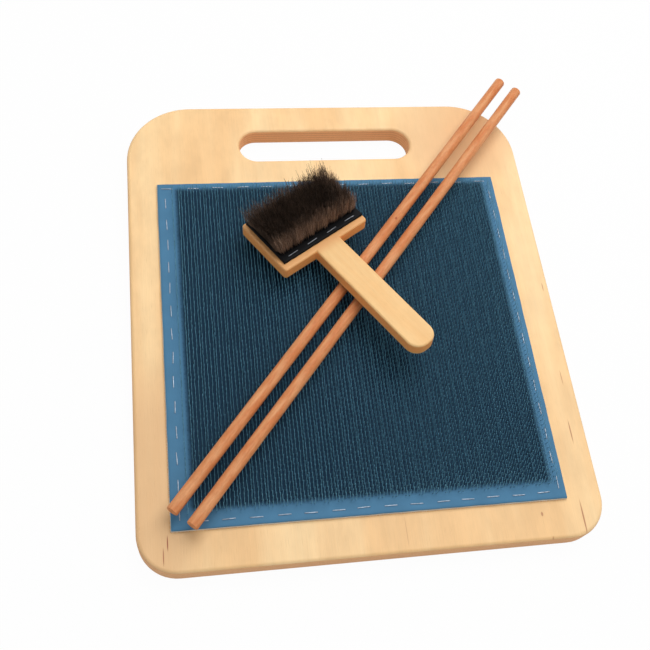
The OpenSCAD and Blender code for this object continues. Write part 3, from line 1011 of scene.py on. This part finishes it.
class BOARD_OT_bristles(Operator):
    """Plant the bristles in the backing"""
    bl_idname = "board.bristles"
    bl_label = "Plant the Bristles"

    def execute(self, context):
        brush = context.scene.board.brush
        root_depth = 0.3 * MM
        block = grown(
            "bristle_block", bristle_tree(), brush, BRUSH_PLACE @ moved((0, 0, -root_depth)),
            field_width=BACKING_SIZE.x - 2 * brush.end_margin,
            field_length=BACKING_SIZE.y - 2 * brush.side_margin, height=brush.height + root_depth,
            splay=(*brush.splay, 0), lean=(*brush.lean, 0), bend=0.7 * MM, seed=10,
            material=bristle_finish(brush))
        seated(block, "brush", "bristle", "brush_bristles")
        return {"FINISHED"}


class BOARD_OT_brush_staples(Operator):
    """Staple the backing to the paddle along both of its long edges"""
    bl_idname = "board.brush_staples"
    bl_label = "Staple the Backing"

    def execute(self, context):
        settings = context.scene.board
        staples, brush = settings.staples, settings.brush
        metal = staple_finish("brush_staple_wire", staples.brush_metal)
        tree = staple_tree()
        inset, sunk = 3.2 * MM, 0.3 * MM
        for edge, side in (("near", 1), ("far", -1)):
            place = BRUSH_PLACE @ moved((0, side * (BACKING_SIZE.y / 2 - inset), -sunk))
            row = grown(
                f"backing_staples_{edge}", tree, staples, place, count=staples.per_brush_edge,
                row_length=BACKING_SIZE.x - 2 * brush.end_margin, wire=staples.brush_wire,
                leg=staples.brush_leg, sway=0.04, slip=0.8 * MM, seed=60 + side, material=metal)
            seated(row, "brush", "staple_wire", f"brush_staples_{edge}")
        return {"FINISHED"}


class BOARD_OT_stage(Operator):
    """Lay the floor, set the lights and place the camera"""
    bl_idname = "board.stage"
    bl_label = "Set the Stage"

    def execute(self, context):
        scene = context.scene
        studio = scene.board.studio
        lay_floor(studio)
        light_studio(scene, studio)
        place_camera(scene)
        scene.view_settings.view_transform = "Standard"
        return {"FINISHED"}


def seen_by(tree, *kinds):
    """1 for rays of these kinds, and 0 for all others."""
    seen, *others = (add(tree, "ShaderNodeLightPath", output=f"Is {kind} Ray") for kind in kinds)
    for other in others:
        seen = calc("MAXIMUM", seen, other)
    return seen


def lay_floor(studio):
    """A wide floor that is white to the eye and shows the object's shadow faintly."""
    half, drop, white_share = 6.0, 0.2 * MM, 0.97
    mesh = bpy.data.meshes.new("floor")
    spots = [(x * half, y * half, -drop) for x, y in ((-1, -1), (1, -1), (1, 1), (-1, 1))]
    mesh.from_pydata(spots, [], [(0, 1, 2, 3)])
    finish = Finish("floor", specular=0.0)
    tree = finish.tree
    finish.wear((*studio.floor, 1), 0.9)
    seen = seen_by(tree, "Camera", "Glossy", "Transmission")
    white = add(tree, "ShaderNodeEmission", {"Color": (1, 1, 1, 1), "Strength": 1.0})
    lit = Value(tree, finish.shader.outputs[0])
    blend = add(tree, "ShaderNodeMixShader", {0: seen * white_share, 1: lit, 2: white})
    feed(tree, tree.nodes["Material Output"], {"Surface": blend})
    mesh.materials.append(finish.material)
    shown("floor", mesh)


def light_studio(scene, studio):
    """One soft light high at the back right, and a fill that is stronger from the horizon."""
    world = bpy.data.worlds.new("studio")
    world.use_nodes = True
    tree = world.node_tree
    up = parts(add(tree, "ShaderNodeTexCoord", output="Generated"))[2]
    fill = remap(up, 0.1, 1.0, studio.low_fill, studio.fill)
    backdrop = seen_by(tree, "Camera", "Transmission")
    strength = add(tree, "ShaderNodeMix", {0: backdrop, 2: fill, 3: 1.0}, data_type="FLOAT")
    feed(tree, tree.nodes["Background"], {"Color": (1, 1, 1, 1), "Strength": strength})
    scene.world = world

    key_at, key_aim, key_size = Vector((0.42, 0.54, 1.5)), Vector((0.03, 0.03, 0.02)), 1.4
    lamp = bpy.data.lights.new("key_light", "AREA")
    lamp.energy = studio.key
    lamp.shape = "SQUARE"
    lamp.size = key_size
    turn = (key_aim - key_at).to_track_quat("-Z", "Y")
    shown("key_light", lamp).matrix_world = moved(key_at) @ turn.to_matrix().to_4x4()


def place_camera(scene):
    """Above the front left of the board, turned a little to the right and rolled."""
    place = Vector((-0.140446, -0.341404, 0.673404))
    heading, downward, roll = (math.radians(turn) for turn in (20.152, 62.346, 15.15))
    lens = bpy.data.cameras.new("camera")
    lens.lens = 49.508
    lens.clip_start = 0.01
    facing = Matrix.Rotation(-heading, 4, "Z") @ Matrix.Rotation(math.pi / 2 - downward, 4, "X")
    scene.camera = shown("camera", lens)
    scene.camera.matrix_world = moved(place) @ facing @ Matrix.Rotation(roll, 4, "Z")


OPERATORS = (
    BOARD_OT_plywood, BOARD_OT_cloth, BOARD_OT_wires, BOARD_OT_cloth_staples, BOARD_OT_dowels,
    BOARD_OT_paddle, BOARD_OT_backing, BOARD_OT_bristles, BOARD_OT_brush_staples, BOARD_OT_stage,
)


class BOARD_PT_panel(Panel):
    """Lists the steps that dress the board, and their settings"""
    bl_idname = "BOARD_PT_panel"
    bl_label = "Blending Board"
    bl_space_type = "VIEW_3D"
    bl_region_type = "UI"
    bl_category = "Blending Board"

    def draw(self, context):
        settings = context.scene.board
        for operator in OPERATORS:
            self.layout.operator(operator.bl_idname)
        for group in ("wood", "cloth", "staples", "brush", "studio"):
            area = self.layout.box()
            area.label(text=group.capitalize())
            part = getattr(settings, group)
            for name in part.__annotations__:
                area.prop(part, name)


CLASSES = (
    WoodSettings, ClothSettings, StapleSettings, BrushSettings, StudioSettings, BoardSettings,
    *OPERATORS, BOARD_PT_panel,
)


def register():
    for cls in CLASSES:
        bpy.utils.register_class(cls)
    bpy.types.Scene.board = PointerProperty(type=BoardSettings)


def unregister():
    del bpy.types.Scene.board
    for cls in reversed(CLASSES):
        bpy.utils.unregister_class(cls)


def main():
    register()
    for operator in OPERATORS:
        step = operator.bl_idname.split(".")[1]
        getattr(bpy.ops.board, step)()


if __name__ == "__main__":
    main()
